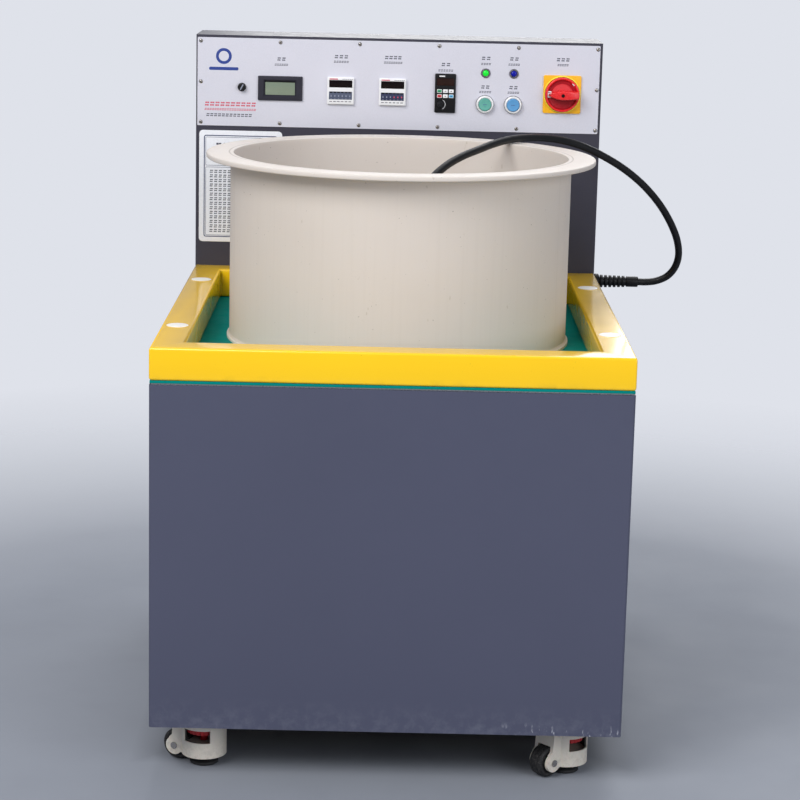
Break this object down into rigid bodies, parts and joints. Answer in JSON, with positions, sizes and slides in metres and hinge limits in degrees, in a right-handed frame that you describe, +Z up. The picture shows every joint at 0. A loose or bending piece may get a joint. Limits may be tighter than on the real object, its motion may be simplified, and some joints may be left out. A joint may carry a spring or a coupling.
{
  "type": "magnetic polishing machine",
  "caption": "Floor-standing magnetic polishing machine: plastic barrel in a yellow table frame over a steel cabinet on levelling casters, with a rear control console and power lead.",
  "frame": {"origin": "centre of the footprint, on the floor under the levelling feet", "axes": "+Z up, the operator stands on the -Y side facing +Y, +X to the operator's right"},
  "size_m": [0.8824, 0.94, 1.083],
  "materials": {
    "cabinet_paint": "blue-grey powder coat, satin",
    "console_paint": "dark grey powder coat, satin",
    "frame_paint": "bright yellow, glossy",
    "inner_paint": "dark grey primer, satin",
    "stainless": "brushed",
    "panel_aluminium": "fine brushed, anodised",
    "screw_steel": "zinc plated",
    "mat_rubber": "teal, matt",
    "barrel_plastic": "translucent natural polypropylene, satin",
    "white_plastic": "satin",
    "black_plastic": "satin",
    "info_film": "printed film on a white plate, glossy",
    "bezel_metal": "satin chrome",
    "lens": "green and navy blue lenses, clear gloss",
    "green_plastic": "teal green, gloss",
    "blue_plastic": "sky blue, gloss",
    "yellow_plastic": "yellow, satin",
    "red_plastic": "red, satin",
    "motor_paint": "grey paint on cast aluminium, satin",
    "steel": "machined",
    "disc_aluminium": "machined",
    "magnet_steel": "dark plated magnets, satin",
    "cord_rubber": "black, satin",
    "caster_plastic": "ivory nylon, satin",
    "caster_plate_steel": "zinc plated",
    "wheel_plastic": "black, matt",
    "pad_rubber": "black, matt"
  },
  "bodies": {
    "machine": {"base_frame": "inner_paint", "cabinet_shell": "cabinet_paint", "rear_panel": "cabinet_paint", "pan_screws": "screw_steel", "top_plate": "stainless", "rubber_mat": "mat_rubber", "top_frame": "frame_paint", "frame_caps": "white_plastic", "m8_bolts": "screw_steel", "barrel": "barrel_plastic", "console_housing": "console_paint", "control_panel": "panel_aluminium", "voltmeter": "black_plastic", "timers": "white_plastic", "keypad": "black_plastic", "lamp_bezels": "bezel_metal", "lamp_lenses": "lens", "button_bezels": "bezel_metal", "panel_contact_blocks": "black_plastic", "switch_plate": "yellow_plastic", "info_plate": "info_film", "motor_mount": "inner_paint", "motor_housing": "motor_paint", "fan_cowl": "inner_paint", "terminal_box": "motor_paint", "drive_unit": "black_plastic", "strain_relief": "black_plastic", "power_cord": "cord_rubber", "cord_coil": "cord_rubber", "plug": "black_plastic", "caster_plates": "caster_plate_steel"},
    "fuse_cap": {"fuse_cap": "black_plastic"},
    "knob": {"speed_knob": "black_plastic"},
    "start_button": {"green_button": "green_plastic"},
    "stop_button": {"blue_button": "blue_plastic"},
    "main_switch": {"switch_handle": "red_plastic"},
    "spinner": {"motor_rotor": "steel", "motor_fan": "black_plastic", "magnet_disc": "disc_aluminium", "magnets": "magnet_steel"},
    "caster_front_left": {"caster_housing_front_left": "caster_plastic", "caster_axle_front_left": "screw_steel"},
    "wheel_front_left": {"caster_wheel_front_left": "wheel_plastic"},
    "foot_front_left": {"caster_foot_front_left": "pad_rubber"},
    "thumbwheel_front_left": {"caster_thumbwheel_front_left": "red_plastic"},
    "caster_front_right": {"caster_housing_front_right": "caster_plastic", "caster_axle_front_right": "screw_steel"},
    "wheel_front_right": {"caster_wheel_front_right": "wheel_plastic"},
    "foot_front_right": {"caster_foot_front_right": "pad_rubber"},
    "thumbwheel_front_right": {"caster_thumbwheel_front_right": "red_plastic"},
    "caster_rear_left": {"caster_housing_rear_left": "caster_plastic", "caster_axle_rear_left": "screw_steel"},
    "wheel_rear_left": {"caster_wheel_rear_left": "wheel_plastic"},
    "foot_rear_left": {"caster_foot_rear_left": "pad_rubber"},
    "thumbwheel_rear_left": {"caster_thumbwheel_rear_left": "red_plastic"},
    "caster_rear_right": {"caster_housing_rear_right": "caster_plastic", "caster_axle_rear_right": "screw_steel"},
    "wheel_rear_right": {"caster_wheel_rear_right": "wheel_plastic"},
    "foot_rear_right": {"caster_foot_rear_right": "pad_rubber"},
    "thumbwheel_rear_right": {"caster_thumbwheel_rear_right": "red_plastic"}
  },
  "joints": [
    {"name": "fuse_cap_turn", "type": "hinge", "parent": "machine", "child": "fuse_cap", "pos_m": [-0.2785, 0.334, 0.9925], "axis": [0, 1, 0], "range_deg": [-90, 0]},
    {"name": "speed_knob_turn", "type": "hinge", "parent": "machine", "child": "knob", "pos_m": [0.074, 0.334, 0.97], "axis": [0, 1, 0], "range_deg": [0, 300]},
    {"name": "green_button_press", "type": "slide", "parent": "machine", "child": "start_button", "axis": [0, 1, 0], "range_m": [0, 0.004], "stiffness_N_per_m": 1000, "springref_m": -0.001},
    {"name": "blue_button_press", "type": "slide", "parent": "machine", "child": "stop_button", "axis": [0, 1, 0], "range_m": [0, 0.004], "stiffness_N_per_m": 1000, "springref_m": -0.001},
    {"name": "main_switch_turn", "type": "hinge", "parent": "machine", "child": "main_switch", "pos_m": [0.29, 0.334, 0.992], "axis": [0, 1, 0], "range_deg": [0, 90]},
    {"name": "magnet_disc_spin", "type": "hinge", "parent": "machine", "child": "spinner", "pos_m": [0, -0.068, 0.585], "axis": [0, 0, 1], "continuous": true},
    {"name": "swivel_front_left", "type": "hinge", "parent": "machine", "child": "caster_front_left", "pos_m": [-0.2815, -0.388, 0.072], "axis": [0, 0, 1], "continuous": true},
    {"name": "wheel_roll_front_left", "type": "hinge", "parent": "caster_front_left", "child": "wheel_front_left", "pos_m": [-0.32047, -0.36983, 0.0252], "axis": [-0.4226, -0.9063, 0], "continuous": true},
    {"name": "foot_height_front_left", "type": "slide", "parent": "caster_front_left", "child": "foot_front_left", "axis": [0, 0, 1], "range_m": [-0.005, 0.004]},
    {"name": "thumbwheel_turn_front_left", "type": "hinge", "parent": "foot_front_left", "child": "thumbwheel_front_left", "pos_m": [-0.2815, -0.388, 0.03], "axis": [0, 0, 1], "range_deg": [-900, 720]},
    {"name": "swivel_front_right", "type": "hinge", "parent": "machine", "child": "caster_front_right", "pos_m": [0.2815, -0.388, 0.072], "axis": [0, 0, 1], "continuous": true},
    {"name": "wheel_roll_front_right", "type": "hinge", "parent": "caster_front_right", "child": "wheel_front_right", "pos_m": [0.24954, -0.41677, 0.0252], "axis": [0.6691, -0.7431, 0], "continuous": true},
    {"name": "foot_height_front_right", "type": "slide", "parent": "caster_front_right", "child": "foot_front_right", "axis": [0, 0, 1], "range_m": [-0.005, 0.004]},
    {"name": "thumbwheel_turn_front_right", "type": "hinge", "parent": "foot_front_right", "child": "thumbwheel_front_right", "pos_m": [0.2815, -0.388, 0.03], "axis": [0, 0, 1], "range_deg": [-900, 720]},
    {"name": "swivel_rear_left", "type": "hinge", "parent": "machine", "child": "caster_rear_left", "pos_m": [-0.2815, 0.388, 0.072], "axis": [0, 0, 1], "continuous": true},
    {"name": "wheel_roll_rear_left", "type": "hinge", "parent": "caster_rear_left", "child": "wheel_rear_left", "pos_m": [-0.32047, 0.36983, 0.0252], "axis": [0.4226, -0.9063, 0], "continuous": true},
    {"name": "foot_height_rear_left", "type": "slide", "parent": "caster_rear_left", "child": "foot_rear_left", "axis": [0, 0, 1], "range_m": [-0.005, 0.004]},
    {"name": "thumbwheel_turn_rear_left", "type": "hinge", "parent": "foot_rear_left", "child": "thumbwheel_rear_left", "pos_m": [-0.2815, 0.388, 0.03], "axis": [0, 0, 1], "range_deg": [-900, 720]},
    {"name": "swivel_rear_right", "type": "hinge", "parent": "machine", "child": "caster_rear_right", "pos_m": [0.2815, 0.388, 0.072], "axis": [0, 0, 1], "continuous": true},
    {"name": "wheel_roll_rear_right", "type": "hinge", "parent": "caster_rear_right", "child": "wheel_rear_right", "pos_m": [0.32047, 0.36983, 0.0252], "axis": [0.4226, 0.9063, 0], "continuous": true},
    {"name": "foot_height_rear_right", "type": "slide", "parent": "caster_rear_right", "child": "foot_rear_right", "axis": [0, 0, 1], "range_m": [-0.005, 0.004]},
    {"name": "thumbwheel_turn_rear_right", "type": "hinge", "parent": "foot_rear_right", "child": "thumbwheel_rear_right", "pos_m": [0.2815, 0.388, 0.03], "axis": [0, 0, 1], "range_deg": [-900, 720]}
  ],
  "couplings": [
    {"joint": "foot_height_front_left", "follows": "thumbwheel_turn_front_left", "m_per_rad": 0.0003183},
    {"joint": "foot_height_front_right", "follows": "thumbwheel_turn_front_right", "m_per_rad": 0.0003183},
    {"joint": "foot_height_rear_left", "follows": "thumbwheel_turn_rear_left", "m_per_rad": 0.0003183},
    {"joint": "foot_height_rear_right", "follows": "thumbwheel_turn_rear_right", "m_per_rad": 0.0003183}
  ]
}
